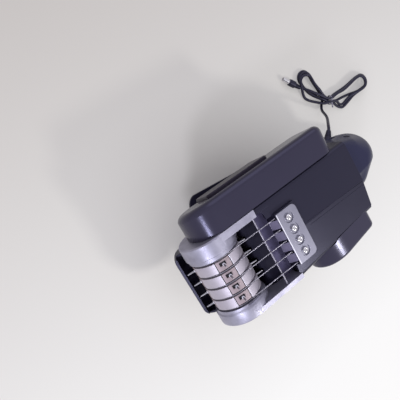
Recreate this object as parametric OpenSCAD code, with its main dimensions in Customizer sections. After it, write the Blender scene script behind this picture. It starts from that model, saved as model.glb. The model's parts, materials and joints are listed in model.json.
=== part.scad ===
// Handheld cotton picker: a powered drum of spiked rings in a silver head, a black two-part
// housing with a bag hood below it, a grip behind, and a thin power lead tied in a bundle.
// X runs forward to the drum, Y to the left, Z up. Everything is drawn from the drum's axis,
// and whole() moves it so that the origin lies under the middle of the tool, on the ground.

/* [Picking drum] */
// Radius of the rings' outer surface
drum_r = 25; // [23:0.5:27]
// Number of spiked rings
ring_count = 4; // [3:1:5]
// Distance between the middles of two rings
ring_pitch = 12.5; // [11:0.5:14]
// Gap between two rings, where a guard wire lies
groove_w = 2.2; // [1.8:0.1:3]
// Depth of a ring, from its surface to the drum's core
ring_depth = 5; // [4:0.5:7]
// Number of tooth plates round one ring
plate_count = 4; // [3:1:5]
// Angle that the pocket of a tooth plate spans
plate_angle = 36; // [24:1:44]
// How far a tooth plate lies below the ring's surface
plate_drop = 0.7; // [0.4:0.1:1.2]
// Thickness of a tooth plate
plate_t = 1.6; // [1.2:0.1:2]
// Angle of the first tooth above the horizontal
first_tooth = 78; // [70:1:84]
// Height of a tooth above the rings' surface
tooth_h = 7; // [5:0.5:7.5]
// Radius of a tooth at its root
tooth_r = 1.1; // [0.9:0.1:1.4]
// Radius of the drum's shaft
shaft_r = 4; // [3:0.5:6]

/* [Silver head] */
// Radius of the cheeks round the drum's ends
cheek_r = 27; // [26:0.5:29]
// Thickness of a cheek's rear arm
arm_t = 5; // [3:0.5:7]
// Length of a cheek's rear arm behind the drum's axis
arm_l = 56; // [50:1:58]
// Radius of a guard wire
wire_r = 0.6; // [0.5:0.05:0.7]
// How far a guard wire rises towards the rear, in degrees
wire_rise = 3.2; // [2:0.2:4]
// Distance of the cross rod behind the drum's axis
rod_x = 40; // [38:1:46]
// Radius of the cross rod
rod_r = 0.9; // [0.8:0.05:1.2]

/* [Housing] */
// Half the width of the housing
body_hw = 45; // [44:0.5:50]
// Height of the housing's ridge above the drum's axis
body_top = 26.4; // [25:0.2:28]
// How far the roof falls from its ridge to its right edge
roof_fall = 2.4; // [1:0.2:4]
// How far it falls to its left edge
roof_fall_left = 5.4; // [4:0.2:7]
// How much the left wall comes in towards the rear
body_taper = 9; // [6:0.5:10]
// Depth of the housing's floor below the drum's axis
body_bottom = 29; // [27:0.5:32]
// Distance of the housing's rear wall behind the drum's axis
body_back = 168.5; // [165:0.5:180]
// Distance of the side walls' front ends behind the drum's axis
body_front = 49; // [45:1:52]
// Wall thickness of the mouldings
wall = 2.5; // [2:0.25:3]
// Distance of the tension plate's front edge behind the drum's axis
tension_x = 60; // [60:0.5:64]
// Length of the tension plate
tension_l = 23; // [20:0.5:26]
// Half the width of the tension plate
tension_hw = 28; // [26:0.5:31]
// Thickness of the tension plate
tension_t = 2.2; // [1.8:0.1:3]

/* [Side covers] */
// Width of the gear cover on the right side
gear_w = 29.5; // [26:0.5:34]
// Radius of the gear cover's round front end
gear_r = 27.6; // [26:0.2:28]
// Distance of the gear cover's front end before the drum's axis
gear_front = 14.5; // [12:0.5:18]
// Distance of the gear cover's rear end behind the drum's axis
gear_back = 153.5; // [140:0.5:160]
// How far the gear cover's outer wall leans inwards towards its foot, in degrees
gear_lean = 10.5; // [6:0.5:12]
// Width of the motor cover on the left side, at its front
motor_w = 22.5; // [18:0.5:25]
// Distance of the motor's axis behind the drum's axis
motor_x = 130; // [126:1:134]
// Radius of the motor
motor_r = 17; // [15:0.5:18]

/* [Bag hood and shroud] */
// Height of the drum's axis above the hood's rim
axis_h = 96; // [90:1:104]
// Distance of the rim's front edge behind the drum's axis
rim_front = 25; // [23:0.5:28]
// Length of the rim, front to back
rim_l = 98; // [92:1:104]
// Width of the rim at its front
rim_w = 114; // [108:1:120]
// How much narrower the rim is at its back
rim_taper = 14; // [6:1:20]
// Width of the rim's flat flange
flange_w = 6; // [4:0.5:7]
// Thickness of the rim's flat flange
flange_t = 3; // [2:0.25:4]
// Inner radius of the shroud under the drum
shroud_r = 36; // [34.5:0.5:37]
// Half the width of the shroud
shroud_hw = 36; // [35:0.5:38]
// Angle of the shroud's front lip below the horizontal
lip_angle = 34; // [32:1:38]

/* [Grip] */
// Radius of the grip at its end
grip_r = 19; // [17:0.5:20]
// Length of the grip along its axis
grip_l = 80; // [74:1:82]
// Slope of the grip's axis below the horizontal
grip_slope = 42; // [38:1:46]
// Radius of the heel above the grip
heel_r = 33; // [30:0.5:34]

/* [Power lead] */
// Diameter of the power lead
lead_d = 3.4; // [3.2:0.1:3.6]
// Height of the tied bundle
bundle_h = 10.8; // [10:0.2:12]

/* [Hidden] */
$fn = 64;
far = 400;                 // longer than the tool, for what cuts through all of it
seat = 0.15;               // running gap between two fixed pieces
run = 0.3;                 // gap between the drum and what stands beside it

ring_w = ring_pitch - groove_w;
core_r = drum_r - ring_depth;
drum_hw = ring_count * ring_pitch / 2 + groove_w / 2 + 0.1;   // inner face of a cheek
cheek_out = body_hw - wall - run;
tooth_reach = drum_r + tooth_h;
tooth_tip_r = 0.45 * tooth_r;

sheet_r = drum_r + 4.2;    // inner radius of the slotted sheet
sheet_t = 2;
sheet_hw = cheek_out - arm_t - seat;
slot_w = 2 * tooth_r + 2.4;
bulkhead_x = tension_x - 0.5;
bay_front = body_front - 5;    // where the bay's right rim meets the cheek's arm
bay_rim = [7, 9];              // width and height of that rim

shroud_out = shroud_r + 3;
shroud_end = 112;          // angle where the shroud passes into the hood

wire_at_r = drum_r - 1.6;
wire_l = tension_x + 0.2;
wire_end = 62;             // angle below the horizontal where a wire meets the shroud

seat_z = body_top + 0.6;   // top of the pad that carries the tension plate
plate_z = seat_z + tension_t;
edge_right = body_top - roof_fall;
edge_left = body_top - roof_fall_left;
wall_turn = atan(body_taper / (body_back - bulkhead_x));      // how the left wall turns in
wall_tilt = atan(roof_fall_left * body_taper / body_hw / (body_back - bulkhead_x));

gear_in = body_hw + run;
gear_top = body_top;
gear_soft = 6;             // radius of its outer edges
trim = 0.1;                // keeps the cuts that shape a cover apart
panel_t = 3.5;
panel_front = 17;
panel_l = 73;
panel_drop = 12.5;         // from the cover's top to the panel's, along the wall
panel_h = 38;
panel_soft = 2;
motor_z = -2;              // height of the motor's axis
motor_turn = 9;            // how the motor cover's outer wall turns in
motor_fall = 7;            // how its top falls outwards
motor_slack = 2.3;         // what its rounded edges take off its width
motor_cover_front = 91;
motor_cover_back = body_back - 0.4;

grip_x = 188;              // where the grip's axis starts, behind the drum's axis
grip_z = 28;               // and below it
heel_x = 194;
heel_y = 6;                // how far it lies to the right
heel_z = 24;
shoulder = [43, 33, 24, 15];   // right, left, down and up, where the heel meets the housing
groove_r = 3.2;
grooves = [22, 36, 50, 64];
waist_at = 0.7;            // place and depth of the grip's waist, parts of its length and radius
waist_r = 0.97;

tool_front = shroud_out * cos(lip_angle);
tool_back = grip_x + grip_l * cos(grip_slope) + grip_r * sin(grip_slope);
tool_right = gear_in + gear_w + panel_soft
    + (wall_offset(gear_soft, gear_lean) + panel_t - panel_soft) * cos(gear_lean)
    - (panel_drop + trim + panel_soft) * sin(gear_lean);
tool_left = body_hw + motor_w - motor_slack;
mid_x = (tool_front - tool_back) / 2;
mid_y = (tool_left - tool_right) / 2;

// The lead leaves the heel's right lobe here, in this direction
lobe_at = [-176, -38, -12];
lobe_r = 8;
lead_out = [-0.741, -0.641, -0.2];

// The lead's route from the gland to the bundle; the height is over the ground
lead_route = [
    [-185.1, -45.9, 81.54], [-187.5, -47.9, 81.05], [-190.1, -50.2, 80.12], [-192.4, -51.9, 78.69],
    [-194.2, -52.9, 77.18], [-196.5, -53.5, 74.95], [-201, -53.6, 70.19], [-207.9, -52.8, 62.41],
    [-216.1, -51.9, 53.25], [-224.1, -51.2, 44.17], [-231.5, -50.7, 35.4], [-238.3, -50.6, 26.97],
    [-243.9, -50.8, 19.36], [-248.4, -51.6, 12.81], [-251.6, -52.8, 8.18], [-253.8, -54.1, 5.49],
    [-255.9, -55.7, 3.66], [-257.8, -57.3, 2.49], [-259.6, -59, 1.93], [-261.28, -60.66, 1.9]
];
tie_at = [-272, -59];
tie_turn = -26;
tie_l = 4.6;
neck = [10.4, 9.4];        // width and height of the bundle inside its tie
plug_at = [-233.1, -100];
plug_turn = -50;
plug_r = 4.5;
plug_l = 10;
barrel_r = 2.75;
barrel_l = 9.5;
gland_r = 5;

// Points along an arc in the drawing plane
function arc(cx, cy, r, a0, a1, n = 10) =
    [for (i = [0:n]) let (a = a0 + (a1 - a0) * i / n) [cx + r * cos(a), cy + r * sin(a)]];

// Turns a drawing so that its plane is XZ and its height runs along Y, from y0 to y1
module across(y0, y1) {
    translate([0, y1, 0]) rotate([90, 0, 0]) linear_extrude(y1 - y0) children();
}

// Turns a section in YZ and draws it along X, from x0 to x1
module along(x0, x1) {
    translate([x0, 0, 0]) rotate([90, 0, 90]) linear_extrude(x1 - x0) children();
}

// Part of a ring round the drum's axis, between two radii, two angles and two places on Y
module sector(r0, r1, a0, a1, y0, y1) {
    translate([0, y1, 0]) rotate([90, 0, 0]) rotate([0, 0, a0])
        rotate_extrude(angle = a1 - a0) translate([r0, 0]) square([r1 - r0, y1 - y0]);
}

// Cylinder along Y
module bar(r, y0, y1) {
    translate([0, y1, 0]) rotate([90, 0, 0]) cylinder(r = r, h = y1 - y0);
}

// The left or the right half of what is drawn, split on the tool's middle plane
module half(side) {
    intersection() {
        children();
        translate([-far, side > 0 ? 0 : -far, -far]) cube([2 * far, far, 2 * far]);
    }
}

module whole() {
    translate([-mid_x, -mid_y, axis_h]) children();
}

// Distance of a cover's leaning wall from the turning line of its top edge
function wall_offset(soft, lean) = soft * (1 - cos(lean) + sin(lean)) + trim * sin(lean);

// Moulded cover on one side: a slab from y_in outwards, with big corners at its front and small
// ones at its rear. Its outer edges are softened, its outer wall leans in towards its foot, and
// corner rounds its rear end as seen from above.
module cover(side, y_in, w, front, back, low, top, big, small, soft, corner, lean) {
    y_out = y_in + w;
    wall_in = (top - low - 2 * trim - 2 * soft) * tan(lean);
    y_cut = wall_offset(soft, lean) + trim;
    mirror([0, side > 0 ? 0 : 1, 0]) intersection() {
        across(y_in, y_out + 1) polygon(concat(
            arc(front - big, top - big, big, 90, 2, 12),
            arc(front - big, low + big, big, -2, -90, 12),
            arc(back + small, low + small, small, 270, 180, 6),
            arc(back + small, top - small, small, 180, 90, 6)));
        along(back - 1, front + 1) polygon(concat(
            [[y_in - 1, low + trim], [y_in - 1, top - trim]],
            arc(y_out - soft, top - trim - soft, soft, 90, -lean, 6),
            arc(y_out - soft - wall_in, low + trim + soft, soft, -lean, -90, 6)));
        translate([0, y_out, top]) rotate([-lean, 0, 0]) translate([0, 0, -far / 2])
            linear_extrude(far) polygon(concat(
                [[front - trim, -far / 4]],
                arc(front - trim - soft, y_cut - soft, soft, 0, 90, 6),
                arc(back + trim + corner, y_cut - corner, corner, 90, 180, 6),
                [[back + trim, -far / 4]]));
    }
}

// Drum
module drum_core() {
    color("dimgray") {
        bar(core_r - 0.05, -drum_hw + run, drum_hw - run);
        bar(shaft_r, -cheek_out + 2, cheek_out - 2);
    }
}

module ring(k) {
    y = (k - (ring_count + 1) / 2) * ring_pitch;
    color("silver") difference() {
        sector(core_r, drum_r, 0, 360, y - ring_w / 2, y + ring_w / 2);
        for (i = [0:plate_count - 1]) {
            a = first_tooth + i * 360 / plate_count;
            sector(drum_r - plate_drop - plate_t, drum_r + 1, a - plate_angle / 2, a + plate_angle / 2,
                y - ring_w / 2 - 1, y + ring_w / 2 + 1);
        }
    }
}

module tooth_plates(k) {
    y = (k - (ring_count + 1) / 2) * ring_pitch;
    low = drum_r - plate_drop - plate_t + 0.05;
    color("rosybrown") for (i = [0:plate_count - 1]) {
        a = first_tooth + i * 360 / plate_count;
        difference() {
            sector(low, drum_r - plate_drop, a - plate_angle / 2 + 0.4, a + plate_angle / 2 - 0.4,
                y - ring_w / 2 + 0.3, y + ring_w / 2 - 0.3);
            translate([0, y, 0]) rotate([0, 90 - a + 6, 0]) translate([-1.5, -2, low - 1])
                cube([3, 4, 4]);
        }
        translate([0, y, 0]) rotate([0, 90 - a, 0]) translate([0, 0, low])
            cylinder(h = tooth_reach - low, r1 = tooth_r, r2 = tooth_tip_r, $fn = 16);
    }
}

// Silver head
module cheek(side) {
    step_w = 3.5;
    face = side > 0 ? cheek_out : gear_in - run;
    color("gainsboro") difference() {
        union() {
            y0 = side > 0 ? drum_hw : -face;
            y1 = side > 0 ? face : -drum_hw;
            // end disc with a bevelled outer rim and a lower step beside the drum
            translate([0, side > 0 ? drum_hw : -drum_hw, 0]) rotate([-90 * side, 0, 0])
                rotate_extrude() polygon([
                    [0, 0], [cheek_r - 1.6, 0], [cheek_r - 1.6, step_w], [cheek_r, step_w + 0.8],
                    [cheek_r, face - drum_hw - 1.2], [cheek_r - 1.2, face - drum_hw], [0, face - drum_hw]
                ]);
            arm(side, cheek_out - arm_t, cheek_out - 0.3, side > 0 ? arm_l + 2 : bay_front - seat);
            if (side < 0) arm(side, cheek_out - 1, face - 0.3, bay_front - seat);
        }
        bar(shaft_r + 0.05, side > 0 ? 0 : -cheek_out + 1.5, side > 0 ? cheek_out - 1.5 : 0);
        translate([-rod_x, 0, rod_z]) bar(rod_r + 0.05, side > 0 ? 0 : -cheek_out + 2, side > 0 ? cheek_out - 2 : 0);
    }
}

// Height of the cross rod's axis: the wires rest on it
rod_z = wire_at_r / cos(wire_rise) + rod_x * tan(wire_rise) - wire_r / cos(wire_rise) - rod_r - 0.05;

// One layer of a cheek's rear arm, between two distances from the middle plane
module arm(side, in, out, l) {
    drop = 14;
    r = cheek_r - 0.4;
    across(side > 0 ? in : -out, side > 0 ? out : -in)
        polygon([[0, r], [-l, r], [-l, -drop], [-0.35 * r, -0.9 * r], [0, -0.9 * r]]);
}

module cross_rod() {
    color("silver") translate([-rod_x, 0, rod_z]) bar(rod_r, -cheek_out + 2.2, cheek_out - 2.2);
}

// Wire from the tension plate over the drum and round its front, then out to the shroud
module guard_wires() {
    color("silver") for (i = [0:ring_count]) translate([0, (i - ring_count / 2) * ring_pitch, 0])
        rotate([0, wire_rise, 0]) tube(concat(
            [[-wire_l, 0, wire_at_r], [-wire_l / 2, 0, wire_at_r]],
            [for (p = arc(0, 0, wire_at_r, 90, -wire_end, 19)) [p[0], 0, p[1]]],
            [(shroud_r - seat) * [cos(wire_end + 4), 0, -sin(wire_end + 4)]]), wire_r, 8);
}

// Silver plate with a bent front comb, and a round pocket for each bolt
module tension_plate() {
    comb = 9;
    corner = 5;
    color("silver") translate([-tension_x, 0, seat_z]) {
        difference() {
            union() {
                translate([-tension_l + corner, -tension_hw, 0]) cube([tension_l - corner, 2 * tension_hw, tension_t]);
                translate([-tension_l, -tension_hw + corner, 0]) cube([corner, 2 * (tension_hw - corner), tension_t]);
                for (s = [-1, 1]) translate([-tension_l + corner, s * (tension_hw - corner), 0])
                    cylinder(r = corner, h = tension_t);
            }
            for (i = [1:ring_count]) translate([-11, bolt_y(i), tension_t - 1])
                cylinder(r = 5.4, h = 2);
            for (i = [1:ring_count]) translate([-11, bolt_y(i), -1]) cylinder(r = 1.8, h = 5);
        }
        // comb of tabs, bent down between the wires
        for (i = [1:ring_count]) translate([0, bolt_y(i) - ring_w / 2 + 0.6, 0]) rotate([0, 48, 0])
            translate([-0.8, 0, 0.2]) cube([comb, ring_w - 1.2, 1.4]);
    }
}

function bolt_y(k) = (k - (ring_count + 1) / 2) * ring_pitch;

module tension_bolt(k) {
    head_r = 3.3;
    color("white") translate([-tension_x - 11, bolt_y(k), seat_z + tension_t - 1]) {
        cylinder(r = head_r, h = 1.4);
        translate([0, 0, 1.4]) intersection() {
            translate([0, 0, -2.2]) sphere(r = 4);
            cylinder(r = head_r, h = 4);
        }
        translate([0, 0, -tension_t - 1]) cylinder(r = 1.75, h = tension_t + 1.5);
    }
}

// Housing: a roofed box, open at its front over the drum's rear side. The section runs along
// its right wall, with a square left edge that side_wall() rounds and turns in.
module body_section(grow) {
    hw = body_hw + grow;
    r = 5 + grow;
    slope = atan(roof_fall / body_hw);
    polygon(concat(
        [[-hw, -body_bottom - grow]],
        arc(-hw + r, edge_right + grow - r, r, 180, 90 + slope, 6),
        [[0, body_top + grow], [hw, edge_left + grow], [hw, -body_bottom - grow]]));
}

module side_wall(grow) {
    r = 5 + grow;
    slope = atan(roof_fall_left / body_hw);
    translate([-bulkhead_x, body_hw + grow, edge_left + grow]) rotate([0, wall_tilt, wall_turn])
        along(-far, far) polygon(concat(
            [[-far, far / 4], [-far / 4, far / 4]],
            arc(-r, -r, r, 90 - slope, 0, 6),
            [[0, -far], [-far, -far]]));
}

// What the housing fills from x0 to x1, or its hollow if grow is negative
module body(x0, x1, grow) {
    intersection() {
        along(x0, x1) body_section(grow);
        side_wall(grow);
    }
}

module housing() {
    difference() {
        union() {
            body(-body_back, -body_front, 0);
            // pad under the tension plate
            translate([-tension_x - tension_l - 1, -tension_hw - 1, edge_left - 2])
                cube([tension_l + 1, 2 * tension_hw + 2, seat_z - edge_left + 2]);
        }
        // motor chamber
        body(-body_back + wall, -bulkhead_x - wall, -wall);
        // open bay behind the drum, through the roof and the floor
        body(-bulkhead_x, -body_front + 1, -wall);
        translate([-bulkhead_x + 1.3, -body_hw + wall, 0]) cube([40, 2 * (body_hw - wall), 60]);
        translate([-bulkhead_x, -tension_hw - 1, 0]) cube([40, 2 * tension_hw + 2, 60]);
        translate([-bulkhead_x, -body_hw + wall, -body_bottom - 5]) cube([40, 2 * (body_hw - wall), 20]);
        for (k = [1:ring_count]) translate([-tension_x - 11, bolt_y(k), 0]) cylinder(r = 1.8, h = 60);
        // the motor's shaft passes through the right wall
        translate([-motor_x, 0, motor_z]) bar(4, -100, 0);
    }
    // the bay's thick right rim
    intersection() {
        body(-bulkhead_x - 1, -bay_front, 0);
        translate([-far, -body_hw, edge_right - bay_rim[1]]) cube([far, bay_rim[0], far]);
    }
}

module housing_half(side) {
    color("#3a3848") half(side) housing();
}

module motor() {
    color("gray") translate([-motor_x, 0, motor_z]) bar(motor_r, -body_hw + wall + seat, 0.72 * body_hw);
}

// Right side: long cover over the drive from motor to drum
module gear_cover() {
    color("#34323f") cover(-1, gear_in, gear_w, gear_front, -gear_back,
        gear_top - 2 * gear_r, gear_top, gear_r, 12, gear_soft, 10, gear_lean);
}

module gear_cover_panel() {
    color("#17161c") mirror([0, 1, 0]) translate([0, gear_in + gear_w, gear_top])
        rotate([-gear_lean, 0, 0])
            cover(1, wall_offset(gear_soft, gear_lean), panel_t, -panel_front, -panel_front - panel_l,
                -panel_drop - panel_h, -panel_drop, 5, 5, panel_soft, 3, 0);
}

// Left side: shorter cover over the motor's end, rounded at the front. It is drawn straight,
// then turned in and tilted, and cut off along the housing's left wall.
module motor_cover() {
    h = edge_left + body_bottom;
    l = (motor_cover_back - motor_cover_front) / cos(motor_turn);
    color("#3a3848") intersection() {
        translate([-motor_cover_front, body_hw + motor_w, edge_left - 1.9]) rotate([0, 0, motor_turn])
            rotate([-motor_fall, 0, 0]) cover(1, -2 * motor_w, 2 * motor_w, 0, -l,
                -h + 3, 0, (h - 3) / 2, 10, 5, 8, 0);
        translate([-bulkhead_x, body_hw, 0]) rotate([0, 0, wall_turn])
            translate([-far, seat, -far]) cube([2 * far, far, 2 * far]);
        translate([-motor_cover_back, -far, -far]) cube(2 * far);
    }
}

// Shroud: the black shell that wraps the drum from the front lip down to the hood
module shroud() {
    corner = 9;
    intersection() {
        union() {
            sector(shroud_r, shroud_out, -shroud_end, -lip_angle, -shroud_hw, shroud_hw);
            for (s = [-1, 1]) sector(cheek_r + 0.2, shroud_out, -shroud_end, -lip_angle - 6,
                s > 0 ? shroud_hw - wall : -shroud_hw, s > 0 ? shroud_hw : -shroud_hw + wall);
        }
        // rounded corners of the lip, seen from above
        translate([0, 0, -far / 2]) linear_extrude(far) polygon(concat(
            [[-far, -shroud_hw], [-far, shroud_hw]],
            arc(tool_front - corner, shroud_hw - corner, corner, 90, 0, 8),
            arc(tool_front - corner, -shroud_hw + corner, corner, 0, -90, 8)));
    }
}

module shroud_half(side) {
    color("#3a3848") half(side) shroud();
}

// Sheet behind the drum: the teeth pass through its slots and leave the cotton below it
module stripper_sheet() {
    low_end = 236;
    bend = 10;
    back_x = -bulkhead_x + seat;
    color("#3a3848") difference() {
        across(-sheet_hw, sheet_hw) polygon(concat(
            arc(0, 0, sheet_r, low_end, 180, 14),
            arc(-sheet_r - bend, 0, bend, 0, 90, 8),
            [[back_x, bend], [back_x, bend - sheet_t]],
            arc(-sheet_r - bend, 0, bend - sheet_t, 90, 0, 8),
            arc(0, 0, sheet_r + sheet_t, 180, low_end, 14)));
        for (k = [1:ring_count]) translate([0, bolt_y(k), 0])
            sector(core_r, tooth_reach + 1.2, 154, low_end + 5, -slot_w / 2, slot_w / 2);
    }
}

// Hood: flares from the housing's floor to the rim, where the bag is tied on
function rim_outline(in) = let (
        f = -rim_front - in, b = -rim_front - rim_l + in,
        wf = rim_w / 2 - in, wb = rim_w / 2 - rim_taper / 2 - in, c = 14, bulge = 7)
    concat(
        arc(f - c - bulge, wf - c, c, 80, 20, 6),
        [[f - 1.2, wf / 2], [f, 0], [f - 1.2, -wf / 2]],
        arc(f - c - bulge, -wf + c, c, -20, -80, 6),
        arc(b + c, -wb + c, c, 260, 190, 6),
        arc(b + c, wb - c, c, 170, 100, 6));

module hood_shape(in) {
    top_hw = body_hw - 2 - in;
    hull() {
        translate([0, 0, -axis_h + flange_t - (in > 0 ? flange_t + 1 : 0)]) linear_extrude(0.1)
            polygon(rim_outline(flange_w + in));
        translate([-rim_front - 92 + in, -top_hw, -body_bottom - run - (in > 0 ? 0 : 2)])
            cube([101 - 2 * in, 2 * top_hw, 2]);
    }
}

module hood() {
    difference() {
        union() {
            translate([0, 0, -axis_h]) linear_extrude(flange_t) polygon(rim_outline(0));
            hood_shape(0);
        }
        hood_shape(wall);
        // room for the shroud's rear end
        bar(shroud_out + seat, -60, 60);
    }
}

module hood_half(side) {
    color("#3a3848") half(side) hood();
}

// Tab in front of the rim, which hooks the bag's frame
module hood_latch() {
    color("#3a3848") translate([-rim_front + seat, -8, -axis_h + 0.5]) {
        cube([4, 16, flange_t + 1]);
        cube([2, 16, flange_t + 4]);
    }
}

// Grip
module grip_place() {
    translate([-grip_x, 0, -grip_z]) rotate([0, 270 - grip_slope, 0]) children();
}

module grip() {
    difference() {
        union() {
            grip_place() rotate_extrude() polygon([
                [0, 6], [grip_r + 2, 6], [grip_r + 1.4, 20], [grip_r, 34],
                [waist_r * grip_r, waist_at * grip_l], [grip_r, grip_l - 3], [grip_r, grip_l], [0, grip_l]
            ]);
            heel();
        }
        // finger grooves on the side that faces the hood
        grip_place() for (z = grooves) translate([4, 0, z])
            rotate_extrude() translate([grip_r + 5.4, 0]) circle(r = groove_r, $fn = 24);
        translate([-body_back - run, -far / 2, -far / 2]) cube(far);
        lead_place() translate([0, 0, lobe_r - 4]) cylinder(r = gland_r + seat, h = 20);
    }
}

// Heel: the smooth bulge behind the housing, which runs down into the grip's root,
// with a lobe to the right for the lead
module heel() {
    hull() {
        translate([-heel_x, -heel_y, -heel_z]) sphere(r = heel_r, $fn = 40);
        translate([-body_back - 1, -shoulder[0], -shoulder[2]])
            cube([1, shoulder[0] + shoulder[1], shoulder[2] + shoulder[3]]);
        translate(lobe_at) sphere(r = lobe_r, $fn = 24);
        grip_place() translate([0, 0, 10]) cylinder(r = grip_r + 1.9, h = 6);
    }
}

module grip_half(side) {
    color("#3a3848") half(side) grip();
}

module grip_cap() {
    color("#2a2932") grip_place() translate([0, 0, grip_l + 0.1])
        rotate_extrude() polygon([[0, 0], [grip_r - 1.5, 0], [grip_r - 2.2, 2.4], [grip_r - 5, 3.6], [0, 4]]);
}

module grip_knob() {
    color("#1b1a20") grip_place() translate([0, 0, grip_l + 4.2])
        rotate_extrude() polygon([[0, 0], [7, 0], [6.4, 3.4], [4.6, 4.6], [0, 4.8]]);
}

// Power lead
function unit(v) = v / norm(v);

// Tube with flat ends along a route of points
module tube(route, r, sides) {
    n = len(route);
    rings = [for (i = [0:n - 1]) let (
            d = unit(route[min(i + 1, n - 1)] - route[max(i - 1, 0)]),
            side = abs(d[2]) > 0.99 || route[0][1] == route[n - 1][1] ? [0, 1, 0] : [0, 0, 1],
            u = unit(cross(d, side)), v = cross(u, d))
        [for (k = [0:sides - 1]) let (a = 360 * (k + 0.5) / sides) route[i] + r * (cos(a) * u + sin(a) * v)]];
    polyhedron(
        points = [for (ring = rings) for (p = ring) p],
        faces = concat(
            [[for (k = [0:sides - 1]) k]],
            [for (i = [0:n - 2]) for (k = [0:sides - 1]) let (m = (k + 1) % sides)
                [i * sides + k, (i + 1) * sides + k, (i + 1) * sides + m, i * sides + m]],
            [[for (k = [sides - 1:-1:0]) (n - 1) * sides + k]]));
}

module lead() {
    color("#1d1b26") translate([0, 0, -axis_h]) tube(lead_route, lead_d / 2, 8);
}

// Places what lies along the lead's first stretch, from the middle of the heel's lobe
module lead_place() {
    d = unit(lead_out);
    translate(lobe_at) rotate([0, acos(d[2]), atan2(d[1], d[0])]) children();
}

module lead_gland() {
    color("#1d1b26") lead_place() translate([0, 0, lobe_r - 4 + seat]) difference() {
        rotate_extrude() polygon([[0, 0], [gland_r, 0], [gland_r, 4.6], [3.6, 5.2], [2.5, 14.6], [0, 14.6]]);
        translate([0, 0, 8]) cylinder(r = lead_d / 2 + 0.05, h = 10);
    }
}

// The bundle's two lobes meet at the tie
module bundle_outline() {
    hull() {
        circle(r = 6, $fn = 24);
        translate([25.5, -29]) circle(r = 10, $fn = 32);
        translate([23, -45]) circle(r = 8, $fn = 32);
    }
    hull() {
        circle(r = 6, $fn = 24);
        translate([-15, 12]) circle(r = 10.5, $fn = 32);
        translate([-63, 3]) circle(r = 12, $fn = 32);
    }
}

module tie_place() {
    translate([tie_at[0], tie_at[1], -axis_h]) rotate([0, 0, tie_turn]) children();
}

module bundle_neck(grow) {
    translate([-tie_l, -neck[0] / 2 - grow, (bundle_h - neck[1]) / 2 - grow])
        cube([2 * tie_l, neck[0] + 2 * grow, neck[1] + 2 * grow]);
}

module lead_bundle() {
    color("#1d1b26") {
        difference() {
            translate([tie_at[0], tie_at[1], -axis_h]) linear_extrude(bundle_h) bundle_outline();
            tie_place() translate([-tie_l / 2 - seat, -20, -1]) cube([tie_l + 2 * seat, 40, bundle_h + 2]);
        }
        tie_place() bundle_neck(0);
    }
}

module lead_tie() {
    color("#55535f") tie_place() difference() {
        translate([-tie_l / 2, -neck[0] / 2 - 1, 0]) cube([tie_l, neck[0] + 2, bundle_h]);
        bundle_neck(0.1);
    }
}

// Direct current plug: moulded body, relief and hollow barrel
module lead_plug() {
    color("#1d1b26") translate([plug_at[0], plug_at[1], -axis_h + plug_r + 0.2])
        rotate([0, 90, plug_turn]) {
            translate([0, 0, -8]) cylinder(r1 = 2.1, r2 = 3, h = 8.1);
            cylinder(r = plug_r, h = plug_l);
            difference() {
                cylinder(r = barrel_r, h = plug_l + barrel_l);
                translate([0, 0, plug_l + 1]) cylinder(r = 1.25, h = barrel_l);
            }
        }
}

whole() housing_half(1);  // housing_left
whole() housing_half(-1);  // housing_right
whole() hood_half(1);  // hood_left
whole() hood_half(-1);  // hood_right
whole() shroud_half(1);  // shroud_left
whole() shroud_half(-1);  // shroud_right
whole() stripper_sheet();
whole() grip_half(1);  // grip_left
whole() grip_half(-1);  // grip_right
whole() grip_cap();
whole() grip_knob();
whole() cheek(1);  // cheek_left
whole() cheek(-1);  // cheek_right
whole() cross_rod();
whole() guard_wires();
whole() tension_plate();
for (k = [1:4]) whole() tension_bolt(k);
whole() gear_cover();
whole() gear_cover_panel();
whole() motor_cover();
whole() motor();
whole() hood_latch();
whole() drum_core();
for (k = [1:4]) whole() ring(k);
for (k = [1:4]) whole() tooth_plates(k);
whole() lead_gland();
whole() lead();
whole() lead_bundle();
whole() lead_tie();
whole() lead_plug();
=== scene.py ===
import json
import math
import bmesh
import bpy
from mathutils import Matrix, Vector


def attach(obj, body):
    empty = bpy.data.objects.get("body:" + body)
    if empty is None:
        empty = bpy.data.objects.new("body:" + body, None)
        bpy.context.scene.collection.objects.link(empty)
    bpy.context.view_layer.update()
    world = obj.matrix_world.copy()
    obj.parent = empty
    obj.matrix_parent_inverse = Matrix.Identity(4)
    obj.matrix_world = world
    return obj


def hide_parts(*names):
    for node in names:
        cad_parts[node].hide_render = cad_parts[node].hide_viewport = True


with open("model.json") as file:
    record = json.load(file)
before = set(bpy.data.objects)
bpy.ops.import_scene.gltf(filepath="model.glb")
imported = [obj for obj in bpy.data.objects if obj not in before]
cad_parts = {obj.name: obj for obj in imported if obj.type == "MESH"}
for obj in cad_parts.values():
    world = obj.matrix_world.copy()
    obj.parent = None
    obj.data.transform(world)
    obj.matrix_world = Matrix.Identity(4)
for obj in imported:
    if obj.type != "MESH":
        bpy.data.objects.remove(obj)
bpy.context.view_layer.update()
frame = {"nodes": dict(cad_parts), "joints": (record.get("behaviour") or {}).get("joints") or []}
scene = bpy.context.scene
print("frame loaded")

# Lengths below are millimetres from the drum's axis: X forward, Y left, Z up
axisAt = Vector(frame["joints"][0]["pos_m"])
toPart = Matrix.Translation(axisAt) @ Matrix.Scale(0.001, 4)
groundZ = -1000 * axisAt.z


# sRGB hex code as a linear colour
def linearColour(code):
    parts = [int(code[i:i + 2], 16) / 255 for i in (1, 3, 5)]
    return [c / 12.92 if c <= 0.04045 else ((c + 0.055) / 1.055) ** 2.4 for c in parts] + [1.0]


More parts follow.
